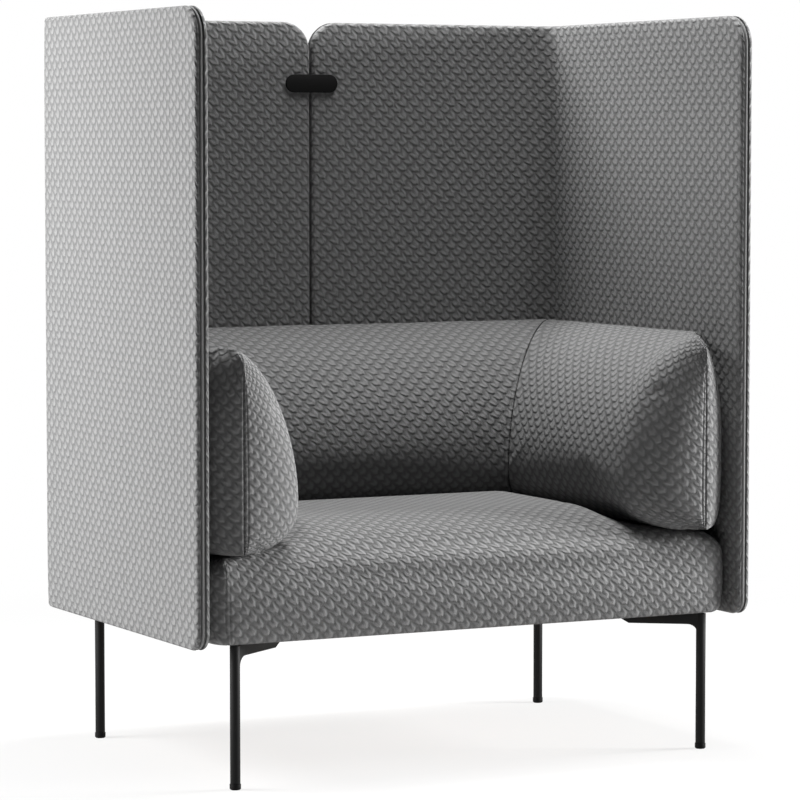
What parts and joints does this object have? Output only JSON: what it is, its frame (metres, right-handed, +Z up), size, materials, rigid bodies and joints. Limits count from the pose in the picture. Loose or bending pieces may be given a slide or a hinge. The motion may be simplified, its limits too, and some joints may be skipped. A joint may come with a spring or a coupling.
{
  "type": "high-back lounge sofa",
  "caption": "Single-seat lounge sofa with tall bent padded screens round the sides and back, mitred arm and back bolsters, a crowned seat and slim black legs with levelling glides",
  "frame": {"origin": "on the floor under the centre of the sofa's bounding box", "axes": "+X to the right as seen from the front, +Y to the back, +Z up"},
  "size_m": [1.114, 0.7402, 1.35],
  "materials": {
    "fabric": "textured mid-grey upholstery weave",
    "fabric_border": "the same weave, sewn as a border strip",
    "plywood": "sanded plywood",
    "timber": "planed beech",
    "webbing": "woven elastic webbing",
    "black_metal": "black powder coat",
    "black_plastic": "matte black moulding",
    "zinc_steel": "zinc-plated steel"
  },
  "bodies": {
    "sofa": {"left_screen_outer_pad": "fabric", "left_screen_inner_pad": "fabric", "left_screen_board": "plywood", "left_screen_edge_band": "fabric_border", "right_screen_outer_pad": "fabric", "right_screen_inner_pad": "fabric", "right_screen_board": "plywood", "right_screen_edge_band": "fabric_border", "connector_front_plate": "black_plastic", "connector_rear_plate": "black_plastic", "connector_screw_left": "zinc_steel", "connector_screw_right": "zinc_steel", "seat_cushion": "fabric", "base_panel": "plywood", "seat_rail_front": "timber", "seat_rail_rear": "timber", "seat_rail_left": "timber", "seat_rail_right": "timber", "webbing_strap_1": "webbing", "webbing_strap_2": "webbing", "webbing_strap_3": "webbing", "webbing_strap_4": "webbing", "webbing_strap_5": "webbing", "left_arm_cushion": "fabric", "left_arm_board": "plywood", "left_arm_stud_front": "zinc_steel", "left_arm_stud_back": "zinc_steel", "right_arm_cushion": "fabric", "right_arm_board": "plywood", "right_arm_stud_front": "zinc_steel", "right_arm_stud_back": "zinc_steel", "back_cushion": "fabric", "back_board": "plywood", "back_stud_left": "zinc_steel", "back_stud_right": "zinc_steel", "frame_bolt_left_front": "zinc_steel", "frame_bolt_left_back": "zinc_steel", "frame_bolt_right_front": "zinc_steel", "frame_bolt_right_back": "zinc_steel", "frame_bolt_rear_left": "zinc_steel", "frame_bolt_rear_right": "zinc_steel", "leg_front_left": "black_metal", "leg_front_right": "black_metal", "leg_rear_left": "black_metal", "leg_rear_right": "black_metal", "leg_screw_front_left_outer": "zinc_steel", "leg_screw_front_left_inner": "zinc_steel", "leg_screw_front_right_outer": "zinc_steel", "leg_screw_front_right_inner": "zinc_steel", "leg_screw_rear_left_outer": "zinc_steel", "leg_screw_rear_left_inner": "zinc_steel", "leg_screw_rear_right_outer": "zinc_steel", "leg_screw_rear_right_inner": "zinc_steel"},
    "front_left_glide": {"glide_front_left": "black_plastic"},
    "front_right_glide": {"glide_front_right": "black_plastic"},
    "rear_left_glide": {"glide_rear_left": "black_plastic"},
    "rear_right_glide": {"glide_rear_right": "black_plastic"}
  },
  "joints": [
    {"name": "level_front_left", "type": "slide", "parent": "sofa", "child": "front_left_glide", "axis": [0, 0, -1], "range_m": [0, 0.008]},
    {"name": "level_front_right", "type": "slide", "parent": "sofa", "child": "front_right_glide", "axis": [0, 0, -1], "range_m": [0, 0.008]},
    {"name": "level_rear_left", "type": "slide", "parent": "sofa", "child": "rear_left_glide", "axis": [0, 0, -1], "range_m": [0, 0.008]},
    {"name": "level_rear_right", "type": "slide", "parent": "sofa", "child": "rear_right_glide", "axis": [0, 0, -1], "range_m": [0, 0.008]}
  ]
}
